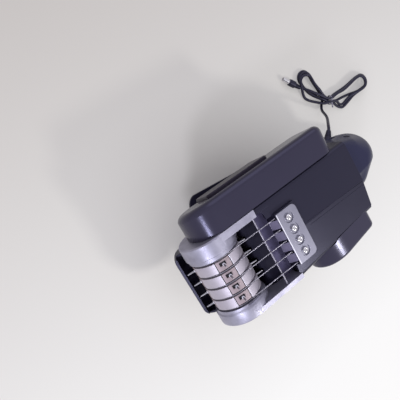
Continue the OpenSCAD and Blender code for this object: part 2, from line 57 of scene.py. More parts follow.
def addNode(tree, kind, values=None, links=None, **settings):
    node = tree.nodes.new(kind)
    for key, value in settings.items():
        setattr(node, key, value)
    for key, value in (values or {}).items():
        node.inputs[key].default_value = value
    for key, source in (links or {}).items():
        tree.links.new(source, node.inputs[key])
    return node


# Material with its plain values; other sockets are given by name
def startMaterial(name, colour, roughness, metallic=0.0, **sockets):
    material = bpy.data.materials.new(name)
    material.use_nodes = True
    tree = material.node_tree
    shader = tree.nodes["Principled BSDF"]
    shader.inputs["Base Color"].default_value = linearColour(colour)
    shader.inputs["Roughness"].default_value = roughness
    shader.inputs["Metallic"].default_value = metallic
    for key, value in sockets.items():
        shader.inputs[key.replace("_", " ")].default_value = value
    material.diffuse_color = linearColour(colour)
    coords = addNode(tree, "ShaderNodeTexCoord").outputs["Object"]
    return material, tree, shader, coords


def mixColour(tree, factor, first, second):
    mix = addNode(tree, "ShaderNodeMix", data_type="RGBA", links={0: factor})
    mix.inputs[6].default_value = linearColour(first)
    mix.inputs[7].default_value = linearColour(second)
    return mix.outputs[2]


# Maps a value between two limits on to 0 to 1, or on to other limits
def mapRange(tree, source, limits=(0, 1), onto=(0, 1)):
    values = {"From Min": limits[0], "From Max": limits[1], "To Min": onto[0], "To Max": onto[1]}
    return addNode(tree, "ShaderNodeMapRange", values, {"Value": source}).outputs["Result"]


def noise(tree, vector, scale, detail, **values):
    settings = {"Scale": scale, "Detail": detail, **values}
    return addNode(tree, "ShaderNodeTexNoise", settings, {"Vector": vector}).outputs["Fac"]


def bumpFrom(tree, shader, height, strength, depth):
    bump = addNode(tree, "ShaderNodeBump", {"Strength": strength, "Distance": depth}, {"Height": height})
    tree.links.new(bump.outputs["Normal"], shader.inputs["Normal"])


# Moulded ABS: the mould was eroded to a fine grain, so the eye sees a soft wide highlight that
# breaks up a little, and slightly paler rubbed patches
plasticSetup = {"tint": "#dedcff", "gloss": 0.45, "smoother": 0.06, "duller": 0.07, "grainDepth": 0.0001}


def mouldedAbs(name, settings):
    gloss = settings.get("gloss", plasticSetup["gloss"])
    material, tree, shader, coords = startMaterial(name, settings["colour"], settings["roughness"],
                                                   Specular_IOR_Level=gloss)
    shader.inputs["Specular Tint"].default_value = linearColour(plasticSetup["tint"])
    grain = noise(tree, coords, 1000 / settings["grainMm"], 2.0)
    patches = noise(tree, coords, 1000 / settings["patchMm"], 5.0, Roughness=0.6)
    surface = mixColour(tree, patches, settings["colour"], settings["rubbed"])
    tree.links.new(surface, shader.inputs["Base Color"])
    # Painted light: behind a limit along X the base colour turns to a paler one
    if "litShelf" in settings:
        along = addNode(tree, "ShaderNodeSeparateXYZ", links={"Vector": coords}).outputs["X"]
        ahead = mapRange(tree, along, settings["litShelfTill"])
        litShelf = addNode(tree, "ShaderNodeMix", data_type="RGBA", links={0: ahead, 7: surface})
        litShelf.inputs[6].default_value = linearColour(settings["litShelf"])
        tree.links.new(litShelf.outputs[2], shader.inputs["Base Color"])
    rough = (settings["roughness"] - plasticSetup["smoother"], settings["roughness"] + plasticSetup["duller"])
    tree.links.new(mapRange(tree, patches, onto=rough), shader.inputs["Roughness"])
    bumpFrom(tree, shader, grain, settings["grainStrength"], plasticSetup["grainDepth"])
    return material


# Worked metal: fine lines run round or along it where it was turned, drawn or brushed, and it is
# a little duller in patches
metalSetup = {"smoother": 0.08, "duller": 0.1, "lineDepth": 0.00005}


def workedMetal(name, settings):
    material, tree, shader, coords = startMaterial(name, settings["colour"], settings["roughness"],
                                                   settings["metallic"])
    stretched = addNode(tree, "ShaderNodeMapping", {"Scale": settings["lines"]}, {"Vector": coords})
    lines = noise(tree, stretched.outputs["Vector"], 1.0, 3.0)
    patches = noise(tree, coords, 1000 / settings["patchMm"], 4.0)
    surface = mixColour(tree, patches, settings["colour"], settings["dull"])
    tree.links.new(surface, shader.inputs["Base Color"])
    rough = (settings["roughness"] - metalSetup["smoother"], settings["roughness"] + metalSetup["duller"])
    tree.links.new(mapRange(tree, lines, onto=rough), shader.inputs["Roughness"])
    bumpFrom(tree, shader, lines, settings["lineStrength"], metalSetup["lineDepth"])
    return material


housingAbs = mouldedAbs("housingAbs", {
    "colour": "#191723", "rubbed": "#1d1b29", "roughness": 0.3, "grainMm": 0.7, "patchMm": 60,
    "grainStrength": 0.25})
coverAbs = mouldedAbs("coverAbs", {
    "colour": "#292634", "rubbed": "#2e2b3a", "roughness": 0.22, "grainMm": 0.7, "patchMm": 70,
    "grainStrength": 0.22})
gripAbs = mouldedAbs("gripAbs", {
    "colour": "#161734", "rubbed": "#1a1b39", "roughness": 0.3, "gloss": 0.28, "grainMm": 0.8, "patchMm": 45,
    "grainStrength": 0.3})
# Inside the bay: dull and darker than the housing, a painted shade of the bay, with a paler shelf behind the
# drum, up to litShelfTill along X in metres, whose paleness is painted light on the shadow that falls there
bayShadeAbs = mouldedAbs("bayShadeAbs", {
    "colour": "#0e0c18", "rubbed": "#12101e", "litShelf": "#5a5570", "litShelfTill": (0.0665, 0.069),
    "roughness": 0.6, "gloss": 0.2, "grainMm": 0.8, "patchMm": 40, "grainStrength": 0.2})
# Pale edge of the moulding, drawn lighter than the housing
paleEdgeAbs = mouldedAbs("paleEdgeAbs", {
    "colour": "#55516a", "rubbed": "#625e78", "roughness": 0.34, "grainMm": 0.7, "patchMm": 20,
    "grainStrength": 0.2})
# Polished ABS panel: smooth enough to mirror the room softly
panelAbs = mouldedAbs("panelAbs", {
    "colour": "#2c2730", "rubbed": "#312c36", "roughness": 0.3, "gloss": 0.15, "grainMm": 4, "patchMm": 50,
    "grainStrength": 0.02})
# Soft rubber-like PVC of the lead and plug: matt black with a dull sheen
leadPvc = mouldedAbs("leadPvc", {
    "colour": "#1a1824", "rubbed": "#22202e", "roughness": 0.45, "grainMm": 0.6, "patchMm": 25,
    "grainStrength": 0.1})
# Grey PVC over the wire of the twist tie
tiePvc = mouldedAbs("tiePvc", {
    "colour": "#8d8a96", "rubbed": "#9a97a4", "roughness": 0.5, "grainMm": 0.6, "patchMm": 20,
    "grainStrength": 0.1})

# Cast aluminium of the cheeks: blotchy and without a direction
castAluminium = workedMetal("castAluminium", {
    "colour": "#bab8c8", "dull": "#6e6b7b", "roughness": 0.46, "metallic": 0.8, "lines": (900, 900, 900),
    "patchMm": 13, "lineStrength": 0.25})
# Turned aluminium of the rings: lines run round the drum
turnedAluminium = workedMetal("turnedAluminium", {
    "colour": "#bcb6bf", "dull": "#a9a2ad", "roughness": 0.5, "metallic": 0.6, "lines": (30, 2600, 30),
    "patchMm": 12, "lineStrength": 0.35})
brushedPlate = workedMetal("brushedPlate", {
    "colour": "#8f8e9b", "dull": "#7f7d8c", "roughness": 0.42, "metallic": 0.8, "lines": (60, 2400, 60),
    "patchMm": 14, "lineStrength": 0.3})
# The same sheet on the bent tabs, painted darker as shade
tabShadeSteel = workedMetal("tabShadeSteel", {
    "colour": "#625d71", "dull": "#514c5f", "roughness": 0.4, "metallic": 0.8, "lines": (60, 2400, 60),
    "patchMm": 5, "lineStrength": 0.3})
# Painted highlight: near-white metal on edges of the rings and the plate, the tabs' ends and the teeth's
# roots, drawn bright where light catches them
highlightSteel = workedMetal("highlightSteel", {
    "colour": "#eeecf6", "dull": "#dddbe6", "roughness": 0.3, "metallic": 0.35, "lines": (900, 900, 900),
    "patchMm": 4, "lineStrength": 0.2})
# Copper-plated sheet steel, oxidised to a dusty rose
toothPlate = workedMetal("toothPlate", {
    "colour": "#9f9195", "dull": "#8b7d83", "roughness": 0.5, "metallic": 0.4, "lines": (1500, 400, 1500),
    "patchMm": 6, "lineStrength": 0.3})
# Hardened steel of the teeth, ground to a point
toothSteel = workedMetal("toothSteel", {
    "colour": "#b7b5bc", "dull": "#a4a2a9", "roughness": 0.36, "metallic": 0.9, "lines": (900, 900, 900),
    "patchMm": 3, "lineStrength": 0.2})
# Drawn stainless wire: bright, with faint lines along it
stainlessWire = workedMetal("stainlessWire", {
    "colour": "#8f8c96", "dull": "#807d87", "roughness": 0.4, "metallic": 1.0, "lines": (40, 700, 700),
    "patchMm": 20, "lineStrength": 0.02})
# Nickel-plated steel: mirror bright on the bolts and the plug's barrel
nickelPlate = workedMetal("nickelPlate", {
    "colour": "#e2e0e2", "dull": "#d4d1d4", "roughness": 0.16, "metallic": 1.0, "lines": (300, 300, 300),
    "patchMm": 5, "lineStrength": 0.04})
# Blackened steel: nothing but a dull gleam. It also stands as painted shade in the tooth pockets and the
# heel's slot
darkSteelAndShade = workedMetal("darkSteelAndShade", {
    "colour": "#26252c", "dull": "#1d1c22", "roughness": 0.5, "metallic": 0.6, "lines": (800, 800, 800),
    "patchMm": 8, "lineStrength": 0.2})
print("materials made")


# Smooth step from 0 at low to 1 at high
def ease(low, high, value):
    share = min(1, max(0, (value - low) / (high - low)))
    return share * share * (3 - 2 * share)


# Mesh of a piece with its modifiers applied
def evaluatedMesh(piece):
    bpy.context.view_layer.update()
    return bpy.data.meshes.new_from_object(piece.evaluated_get(bpy.context.evaluated_depsgraph_get()))


# Distances in mm within which points are one, and the angle in degrees that still counts as flat
weldSetup = {"piece": 0.002, "node": 0.004, "slab": 0.01, "turned": 0.001, "flat": 0.6}


# Makes an object of a shape in millimetres; flat faces stay flat between softened edges
def finishPiece(bm, name, body, materials, replaced=(), smoothAngle=42, recalc=True, weighted=True):
    bmesh.ops.remove_doubles(bm, verts=bm.verts, dist=weldSetup["piece"])
    if recalc:
        bmesh.ops.recalc_face_normals(bm, faces=bm.faces)
    bmesh.ops.transform(bm, matrix=toPart, verts=bm.verts)
    mesh = bpy.data.meshes.new(name)
    bm.to_mesh(mesh)
    bm.free()
    for polygon in mesh.polygons:
        polygon.use_smooth = True
    mesh.set_sharp_from_angle(angle=math.radians(smoothAngle))
    for material in materials:
        mesh.materials.append(material)
    piece = bpy.data.objects.new(name, mesh)
    scene.collection.objects.link(piece)
    if weighted:
        piece.modifiers.new("flats", "WEIGHTED_NORMAL").keep_sharp = True
        mesh = evaluatedMesh(piece)
        piece.modifiers.clear()
        piece.data = mesh
    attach(piece, body)
    if replaced:
        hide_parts(*replaced)
    return piece


# Merged copy of CAD nodes, in millimetres, with its flat faces joined
def copyNodes(*names):
    bm = bmesh.new()
    for name in names:
        bm.from_mesh(frame["nodes"][name].data)
    bmesh.ops.transform(bm, matrix=toPart.inverted(), verts=bm.verts)
    bmesh.ops.remove_doubles(bm, verts=bm.verts, dist=weldSetup["node"])
    bmesh.ops.dissolve_limit(bm, angle_limit=math.radians(weldSetup["flat"]), verts=bm.verts, edges=bm.edges)
    return bm


# Rounds the edges sharper than an angle, of those that pass the test, and returns the new faces
def softenEdges(bm, width, angle, segments, test=None):
    bm.normal_update()
    edges = [e for e in bm.edges if len(e.link_faces) == 2 and e.calc_face_angle(0) > math.radians(angle)
             and (test is None or test(e))]
    return bmesh.ops.bevel(bm, geom=edges, offset=width, offset_type="OFFSET", segments=segments, profile=0.5,
                           affect="EDGES", clamp_overlap=True, material=-1)["faces"]


# A CAD node with softened edges; a second material, a painted highlight, goes on those that don't face along
# Y
def refineNode(node, body, material, soft, angle, segments, highlight=None):
    bm = copyNodes(node)
    for face in softenEdges(bm, soft, angle, segments):
        face.material_index = int(highlight is not None and abs(face.normal.y) < 0.3)
    materials = [material] if highlight is None else [material, highlight]
    return finishPiece(bm, node + "Finished", body, materials, [node], recalc=False)


# Flat outline in XZ at y; radii round its corners from the top front one down and back
def roundedOutline(bm, low, high, y, radii, segments):
    corners = [(high[0], high[1]), (high[0], low[1]), (low[0], low[1]), (low[0], high[1])]
    verts = [bm.verts.new((x, y, z)) for x, z in corners]
    bm.faces.new(verts)
    for vert, radius in zip(verts, radii):
        bmesh.ops.bevel(bm, geom=[vert], offset=radius, offset_type="OFFSET", segments=segments, profile=0.5,
                        affect="VERTICES", material=-1)
    return [f for f in bm.faces if f.is_valid][-1]


# Moulded slab on one side: the outline drawn out along Y, its outer rim rounded
def mouldedSlab(low, high, yIn, yOut, radii, rim, segments, rimSegments):
    bm = bmesh.new()
    face = roundedOutline(bm, low, high, yIn, radii, segments)
    grown = bmesh.ops.extrude_face_region(bm, geom=[face], use_keep_orig=True)
    moved = [g for g in grown["geom"] if isinstance(g, bmesh.types.BMVert)]
    bmesh.ops.translate(bm, verts=moved, vec=(0, yOut - yIn, 0))
    bmesh.ops.remove_doubles(bm, verts=bm.verts, dist=weldSetup["slab"])
    rimEdges = [e for e in bm.edges if all(abs(v.co.y - yOut) < 0.01 for v in e.verts)]
    bmesh.ops.bevel(bm, geom=rimEdges, offset=rim, offset_type="OFFSET", segments=rimSegments, profile=0.5,
                    affect="EDGES", clamp_overlap=False, material=-1)
    return bm


# Cuts off what lies behind a plane and closes the cut
def trimBehind(bm, place, normal):
    bmesh.ops.bisect_plane(bm, geom=bm.verts[:] + bm.edges[:] + bm.faces[:], plane_co=place, plane_no=normal,
                           clear_inner=True)
    bmesh.ops.holes_fill(bm, edges=[e for e in bm.edges if e.is_boundary], sides=0)


# Profile of (radius, height) points turned round Z
def turnProfile(points, steps):
    bm = bmesh.new()
    verts = [bm.verts.new((r, 0, z)) for r, z in points]
    edges = [bm.edges.new((a, b)) for a, b in zip(verts, verts[1:])]
    bmesh.ops.spin(bm, geom=verts + edges, cent=(0, 0, 0), axis=(0, 0, 1), angle=2 * math.pi, steps=steps,
                   use_merge=True, use_duplicate=False)
    bmesh.ops.remove_doubles(bm, verts=bm.verts, dist=weldSetup["turned"])
    return bm


# Turns Z along a direction, at a place
def facing(place, direction):
    return Matrix.Translation(place) @ Vector(direction).to_track_quat("Z", "Y").to_matrix().to_4x4()


# Round tube through points, made a mesh
def tubeMesh(bm, points, radius, resolution):
    curve = bpy.data.curves.new("tubeDraft", "CURVE")
    curve.dimensions = "3D"
    curve.bevel_depth = radius
    curve.bevel_resolution = resolution
    curve.use_fill_caps = True
    spline = curve.splines.new("BEZIER")
    spline.bezier_points.add(len(points) - 1)
    for knot, point in zip(spline.bezier_points, points):
        knot.co = point
        knot.handle_left_type = knot.handle_right_type = "AUTO"
    spline.resolution_u = 8
    draft = bpy.data.objects.new("tubeDraft", curve)
    scene.collection.objects.link(draft)
    mesh = evaluatedMesh(draft)
    bm.from_mesh(mesh)
    bpy.data.objects.remove(draft)
    bpy.data.curves.remove(curve)
    bpy.data.meshes.remove(mesh)


cameraSetup = {"place": (0.2291, -0.1667, 0.4593), "lens": 39.0,
               "right": (-0.77464695, 0.48364822, 0.40743896),
               "up": (-0.54275882, -0.83912321, -0.03584836)}
cameraData = bpy.data.cameras.new("camera")
cameraData.lens = cameraSetup["lens"]
cameraData.clip_start = 0.01
camera = bpy.data.objects.new("camera", cameraData)
scene.collection.objects.link(camera)
right = Vector(cameraSetup["right"]).normalized()
up = Vector(cameraSetup["up"]).normalized()
cameraTurn = Matrix((right, up, right.cross(up))).transposed().to_4x4()
camera.matrix_world = Matrix.Translation(cameraSetup["place"]) @ cameraTurn
scene.camera = camera
scene.view_settings.view_transform = "Standard"
print("camera placed")


# Handles of the smooth curve through all points, whose bend changes steadily (natural spline)
def naturalSlopes(points):
    spans = [(b - a).length for a, b in zip(points, points[1:])]
    count = len(points)
    lower, middle, upper, target = [0.0] * count, [2.0] * count, [0.0] * count, [None] * count
    for i in range(1, count - 1):
        lower[i], middle[i], upper[i] = spans[i], 2 * (spans[i] + spans[i - 1]), spans[i - 1]
        target[i] = 3 * (spans[i] * (points[i] - points[i - 1]) / spans[i - 1]
                        + spans[i - 1] * (points[i + 1] - points[i]) / spans[i])
    upper[0], target[0] = 1.0, 3 * (points[1] - points[0]) / spans[0]
    lower[-1], target[-1] = 1.0, 3 * (points[-1] - points[-2]) / spans[-1]
    for i in range(1, count):
        share = lower[i] / middle[i - 1]
        middle[i] -= share * upper[i - 1]
        target[i] = target[i] - share * target[i - 1]
    slopes = [None] * count
    slopes[-1] = target[-1] / middle[-1]
    for i in range(count - 2, -1, -1):
        slopes[i] = (target[i] - upper[i] * slopes[i + 1]) / middle[i]
    return [(slope * (spans[max(i - 1, 0)] / 3), slope * (spans[min(i, count - 2)] / 3))
            for i, slope in enumerate(slopes)]


# Part of a circle that a strand of the lead follows, at one height or between two
def bow(x, y, radius, start, end, low, high=None, count=6):
    steps = [i / (count - 1) for i in range(count)]
    return [(x + radius * math.cos(math.radians(start + (end - start) * t)),
             y + radius * math.sin(math.radians(start + (end - start) * t)),
             low + ((low if high is None else high) - low) * t) for t in steps]


# Power lead: one cord from the gland down to the ground, then laid in turns through the tie
leadSetup = {
    "diameter": 3.4,
    "roundness": 5,
    "smoothness": 6,
    "clear": 0.25,
    "tie": (-272, -59),
    # from the gland to the bundle; the height is over the ground
    "route": [(-185.1, -45.9, 81.54), (-187.5, -47.9, 81.05), (-190.1, -50.2, 80.12), (-192.4, -51.9, 78.69),
              (-194.2, -52.9, 77.18), (-196.5, -53.5, 74.95), (-201, -53.6, 70.19), (-207.9, -52.8, 62.41),
              (-216.1, -51.9, 53.25), (-224.1, -51.2, 44.17), (-231.5, -50.7, 35.4), (-238.3, -50.6, 26.97),
              (-243.9, -50.8, 19.36), (-248.4, -51.6, 12.81), (-251.6, -52.8, 8.18), (-253.8, -54.1, 5.49),
              (-255.9, -55.7, 3.66), (-257.8, -57.3, 2.49), (-259.6, -59, 1.93), (-261.28, -60.66, 1.9)],
    # from the tie: first left loop, then right and left in turn, then out to the plug
    "firstLeft": [(8.5, -4.6, 1.8), (7.4, -8.6, 1.8), (7.5, -15, 1.8), (8.8, -24, 1.8), (10.4, -33, 1.8)]
                 + bow(20, -42, 8.6, 185, 355, 1.8)
                 + [(26.6, -33, 1.8), (23, -23, 1.8), (17.4, -14.6, 2.6), (12.2, -8.2, 4.6), (7.2, -3, 4.6)],
    "rightOne": [(0.9, 1.7, 2), (-9, 5.6, 1.8), (-24, 7.6, 1.8), (-40, 10.2, 1.8), (-52, 12.6, 1.8)]
                + bow(-63.5, 4, 8.8, 80, 280, 1.8)
                + [(-53, -4.4, 1.8), (-40, -2.8, 1.8), (-24, -2.2, 1.8), (-10, -1.9, 1.8), (-0.9, -1.7, 1.8)],
    "leftTwo": [(4.2, -7.2, 2.6), (7, -16, 4.9), (10.2, -26, 5.2), (11.6, -33, 5.2)]
               + bow(21, -40, 8.5, 185, 355, 5.2)
               + [(28, -30, 5.2), (22.6, -20.6, 5.2), (16, -11.6, 6.8), (10, -4.8, 8.2), (5, 0, 6.8)],
    "rightTwo": [(0.9, 1.7, 5.2), (-4.6, 6.6, 4.2), (-9.4, 13, 2.2)]
                + bow(-19, 10.5, 8.6, 45, 105, 1.8, 1.8, 3)
                + [(-30, 17, 1.8), (-41, 14.2, 2.6), (-51, 12.9, 4.8)] + bow(-60.5, 4, 8.7, 80, 280, 5.2)
                + [(-50, -4, 5.2), (-38, -2.2, 5.2), (-24, -1, 5.2), (-10, -1.5, 5.2), (-0.9, -1.7, 5.2)],
    "leftThree": [(4.6, -6.8, 5.4), (8.8, -14.8, 7.2), (12, -22, 8.6), (14.4, -29, 8.6)]
                 + bow(23.6, -36.8, 8.9, 184, 352, 8.6, 7.6)
                 + [(32.4, -27.4, 3.6), (31.4, -19.6, 1.8), (26, -12.6, 2.2), (18.6, -6.2, 4.2),
                    (9.2, 0.2, 7.4)],
    "rightThree": [(0.9, 1.7, 8.6), (-5.6, 4.8, 7.6), (-11, 9, 4.8)] + bow(-20, 7, 8.4, 48, 105, 2.1, 1.9, 3)
                  + [(-30, 13.2, 2.2), (-39, 11.6, 4.8), (-48, 12, 7.8)] + bow(-56, 3.4, 8.6, 80, 280, 8.6)
                  + [(-46, -4.4, 8.6), (-35, -2.6, 8.6), (-22, -1.5, 8.6), (-10, -2.3, 8.6),
                     (-0.9, -1.7, 8.6)],
    "plugEnd": [(6.4, -5.4, 9.4), (13.4, -12.2, 10.2), (20.2, -19.6, 9.8), (27, -27.4, 8),
                (33.74, -34.87, 4.9)],
}
leadLift = Vector((0, 0, groundZ + leadSetup["clear"]))
tieAt = Vector((*leadSetup["tie"], 0))
leadPoints = [Vector(point) + leadLift for point in leadSetup["route"]]
for stretch in ("firstLeft", "rightOne", "leftTwo", "rightTwo", "leftThree", "rightThree", "plugEnd"):
    leadPoints += [tieAt + Vector(point) + leadLift for point in leadSetup[stretch]]
leadCurve = bpy.data.curves.new("powerLead", "CURVE")
leadCurve.dimensions = "3D"
leadCurve.bevel_depth = leadSetup["diameter"] / 2000
leadCurve.bevel_resolution = leadSetup["roundness"]
leadCurve.use_fill_caps = True
leadSpline = leadCurve.splines.new("BEZIER")
leadSpline.bezier_points.add(len(leadPoints) - 1)
leadSpline.resolution_u = leadSetup["smoothness"]
for knot, point, slope in zip(leadSpline.bezier_points, leadPoints, naturalSlopes(leadPoints)):
    knot.handle_left_type = knot.handle_right_type = "FREE"
    knot.co = toPart @ point
    knot.handle_left = toPart @ (point - slope[0])
    knot.handle_right = toPart @ (point + slope[1])
leadCurve.materials.append(leadPvc)
powerLead = bpy.data.objects.new("powerLead", leadCurve)
scene.collection.objects.link(powerLead)
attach(powerLead, "tool")
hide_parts("lead", "lead_bundle")


# Ribs of a strain relief along Z: a wide and a narrow step each, which grow or shrink
def ribs(count, start, pitch, wide, narrow, grow, steps):
    points = []
    for rib in range(count):
        z = start + pitch * rib
        points += [(wide + grow[0] * rib, z), (wide + grow[0] * rib, z + steps[0])]
        points += [(narrow + grow[1] * rib, z + steps[1]), (narrow + grow[1] * rib, z + steps[2])]
    return points


# Coaxial plug: (radius, height) points of its body, which starts at the lead, and of its barrel
plugSetup = {"at": (-233.1, -100, 4.9), "turn": -50, "start": [(0, -8), (2.1, -8)],
             "ribs": (5, -7.2, 1.4, 2.35, 2.0, (0.16, 0.16), (0.8, 0.9, 1.3)),
             "body": [(3.4, 0), (3.7, 0.3), (4.3, 1.2), (4.3, 8.6), (3.8, 9.6), (2.9, 10), (0, 10)],
             "barrel": [(0, 9.8), (2.75, 9.8), (2.75, 18.9), (2.45, 19.5), (1.5, 19.5), (1.25, 19.2),
                        (1.25, 11), (0, 11)]}
plugTurn = math.radians(plugSetup["turn"])
plugWay = (math.cos(plugTurn), math.sin(plugTurn), 0)
plugPlace = facing(Vector(plugSetup["at"]) + Vector((0, 0, groundZ)), plugWay)
bm = turnProfile(plugSetup["start"] + ribs(*plugSetup["ribs"]) + plugSetup["body"], steps=40)
bmesh.ops.transform(bm, matrix=plugPlace, verts=bm.verts)
plugBody = finishPiece(bm, "plugBody", "tool", [leadPvc], ["lead_plug"])
bm = turnProfile(plugSetup["barrel"], steps=40)
bmesh.ops.transform(bm, matrix=plugPlace, verts=bm.verts)
plugBarrel = finishPiece(bm, "plugBarrel", "tool", [nickelPlate])

# Twist tie: two turns round the neck of the bundle, and its twisted ends on top
tieSetup = {"turn": -26, "turnsAt": (-0.75, 0.55), "skew": 0.3, "halfWidth": 5.6, "middle": 5.4,
            "halfHeight": 4.75, "wire": 0.55, "endWire": 0.5, "endAt": (-0.2, 4, 9.6), "endCoil": (0.6, 0.5),
            "endTurn": 0.9, "endStep": (0.9, 0.05), "loopSteps": 16, "endSteps": 8}
tieBm = bmesh.new()
tiePlace = (Matrix.Translation((*leadSetup["tie"], groundZ))
            @ Matrix.Rotation(math.radians(tieSetup["turn"]), 4, "Z"))
for shift in tieSetup["turnsAt"]:
    loop = []
    for step in range(tieSetup["loopSteps"] + 1):
        turn = 2 * math.pi * step / tieSetup["loopSteps"]
        loop.append(tiePlace @ Vector((shift + tieSetup["skew"] * math.sin(turn),
                                       tieSetup["halfWidth"] * math.cos(turn),
                                       tieSetup["middle"] + tieSetup["halfHeight"] * math.sin(turn))))
    tubeMesh(tieBm, loop, tieSetup["wire"], resolution=3)
for phase in (0, math.pi):
    twist = []
    for step in range(tieSetup["endSteps"]):
        turn = phase + step * tieSetup["endTurn"]
        twist.append(tiePlace @ Vector((tieSetup["endAt"][0] + tieSetup["endCoil"][0] * math.cos(turn),
                                        tieSetup["endAt"][1] + step * tieSetup["endStep"][0],
                                        tieSetup["endAt"][2] + step * tieSetup["endStep"][1]
                                        + tieSetup["endCoil"][1] * math.sin(turn))))
    tubeMesh(tieBm, twist, tieSetup["endWire"], resolution=3)
twistTie = finishPiece(tieBm, "twistTie", "tool", [tiePvc], ["lead_tie"])

# Gland: ribbed strain relief that tapers down to the lead
glandSetup = {"lobe": (-176, -38, -12), "way": (-0.741, -0.641, -0.2), "from": 4.15,
              "start": [(0, 0), (4.9, 0), (4.9, 4.2), (4.3, 4.8)],
              "ribs": (5, 5, 1.9, 3.75, 3.1, (-0.28, -0.22), (1.1, 1.3, 1.7)),
              "end": [(2.1, 14.5), (1.75, 14.6), (1.75, 8), (0, 8)]}
glandWay = Vector(glandSetup["way"]).normalized()
bm = turnProfile(glandSetup["start"] + ribs(*glandSetup["ribs"]) + glandSetup["end"], steps=40)
glandPlace = facing(Vector(glandSetup["lobe"]) + glandSetup["from"] * glandWay, glandWay)
bmesh.ops.transform(bm, matrix=glandPlace, verts=bm.verts)
leadGland = finishPiece(bm, "leadGland", "tool", [leadPvc], ["lead_gland"])
print("lead made")

for side in ("left", "right"):
    refineNode("housing_" + side, "tool", housingAbs, soft=0.7, angle=40, segments=3)
    refineNode("shroud_" + side, "tool", housingAbs, soft=0.7, angle=30, segments=3)

# Rear corner of the bay: the roof runs on beside the plate, with a fillet and a pale edge
cornerSetup = {"back": -60.1, "front": -52.1, "right": -38.3, "left": -28.4, "radius": 5, "roof": 26.42,
               "fall": 0.06, "thick": 3, "edge": 0.5, "steps": 8}
outline = [(cornerSetup["back"], cornerSetup["right"])]
for step in range(cornerSetup["steps"] + 1):
    turn = math.radians(270 - 90 * step / cornerSetup["steps"])
    outline.append((cornerSetup["front"] + cornerSetup["radius"] * (1 + math.cos(turn)),
                    cornerSetup["right"] + cornerSetup["radius"] * (1 + math.sin(turn))))
outline += [(cornerSetup["front"], cornerSetup["left"]), (cornerSetup["back"], cornerSetup["left"])]
bm = bmesh.new()
top = bm.faces.new([bm.verts.new((x, y, cornerSetup["roof"] + cornerSetup["fall"] * y)) for x, y in outline])
grown = bmesh.ops.extrude_face_region(bm, geom=[top], use_keep_orig=True)
lowered = [g for g in grown["geom"] if isinstance(g, bmesh.types.BMVert)]
bmesh.ops.translate(bm, vec=(0, 0, -cornerSetup["thick"]), verts=lowered)
bmesh.ops.recalc_face_normals(bm, faces=bm.faces)


# An edge of the corner's top that lies open to the bay
def isPaleEdge(edge):
    ends = [v.co for v in edge.verts]
    return (min(end.z - cornerSetup["fall"] * end.y for end in ends) > cornerSetup["roof"] - 0.1
            and max(end.x for end in ends) > cornerSetup["back"] + 0.5
            and min(end.y for end in ends) > cornerSetup["right"] - 0.1
            and not all(abs(end.y - cornerSetup["left"]) < 0.01 for end in ends))


for face in softenEdges(bm, width=cornerSetup["edge"], angle=30, segments=2, test=isPaleEdge):
    face.material_index = 1
finishPiece(bm, "bayCorner", "tool", [housingAbs, paleEdgeAbs])

# Twin beads of the parting line, just left of the ridge
beadSetup = {"right": ((-89, -1.5), (-167.5, 1.8)), "left": ((-91, 3.2), (-167, 5.6)), "ridge": 26.4,
             "fall": {"right": 0.0, "left": 0.121}, "radius": 0.3}
beadBm = bmesh.new()
for side in ("right", "left"):
    ends = [Vector((x, y, beadSetup["ridge"] - beadSetup["fall"][side] * y)) for x, y in beadSetup[side]]
    tubeMesh(beadBm, ends, beadSetup["radius"], resolution=3)
finishPiece(beadBm, "ridgeBeads", "tool", [housingAbs])
refineNode("stripper_sheet", "tool", bayShadeAbs, soft=0.3, angle=30, segments=2)
refineNode("hood_latch", "tool", housingAbs, soft=0.4, angle=30, segments=2)

# Right side: long gear cover, whose outer wall leans in towards its foot, and its glossy panel
gearSetup = {"front": 14.4, "back": -153.4, "top": 26.3, "low": -28.7, "yIn": -45.3, "yOut": -75.9,
             "rear": 12, "rim": 8, "lean": math.tan(math.radians(10.5)),
             "panel": {"low": (-90, -23.2), "high": (-17, 14), "clear": 0.02, "thick": 3.3, "corner": 5,
                       "rim": 1.5}}
half = (gearSetup["top"] - gearSetup["low"]) / 2 - 0.01
bm = mouldedSlab((gearSetup["back"], gearSetup["low"]), (gearSetup["front"], gearSetup["top"]),
                 gearSetup["yIn"], gearSetup["yOut"], (half, half, gearSetup["rear"], gearSetup["rear"]),
                 gearSetup["rim"], segments=28, rimSegments=10)
for vert in bm.verts:
    share = (gearSetup["yIn"] - vert.co.y) / (gearSetup["yIn"] - gearSetup["yOut"])
    vert.co.y += share * gearSetup["lean"] * (gearSetup["top"] - vert.co.z)
finishPiece(bm, "gearCover", "tool", [coverAbs], ["gear_cover"])
panel = gearSetup["panel"]
bm = mouldedSlab(panel["low"], panel["high"], gearSetup["yOut"] - panel["clear"],
                 gearSetup["yOut"] - panel["thick"], (panel["corner"],) * 4, panel["rim"], segments=10,
                 rimSegments=5)
for vert in bm.verts:
    vert.co.y += gearSetup["lean"] * (gearSetup["top"] - vert.co.z)
finishPiece(bm, "gearPanel", "tool", [panelAbs], ["gear_cover_panel"])

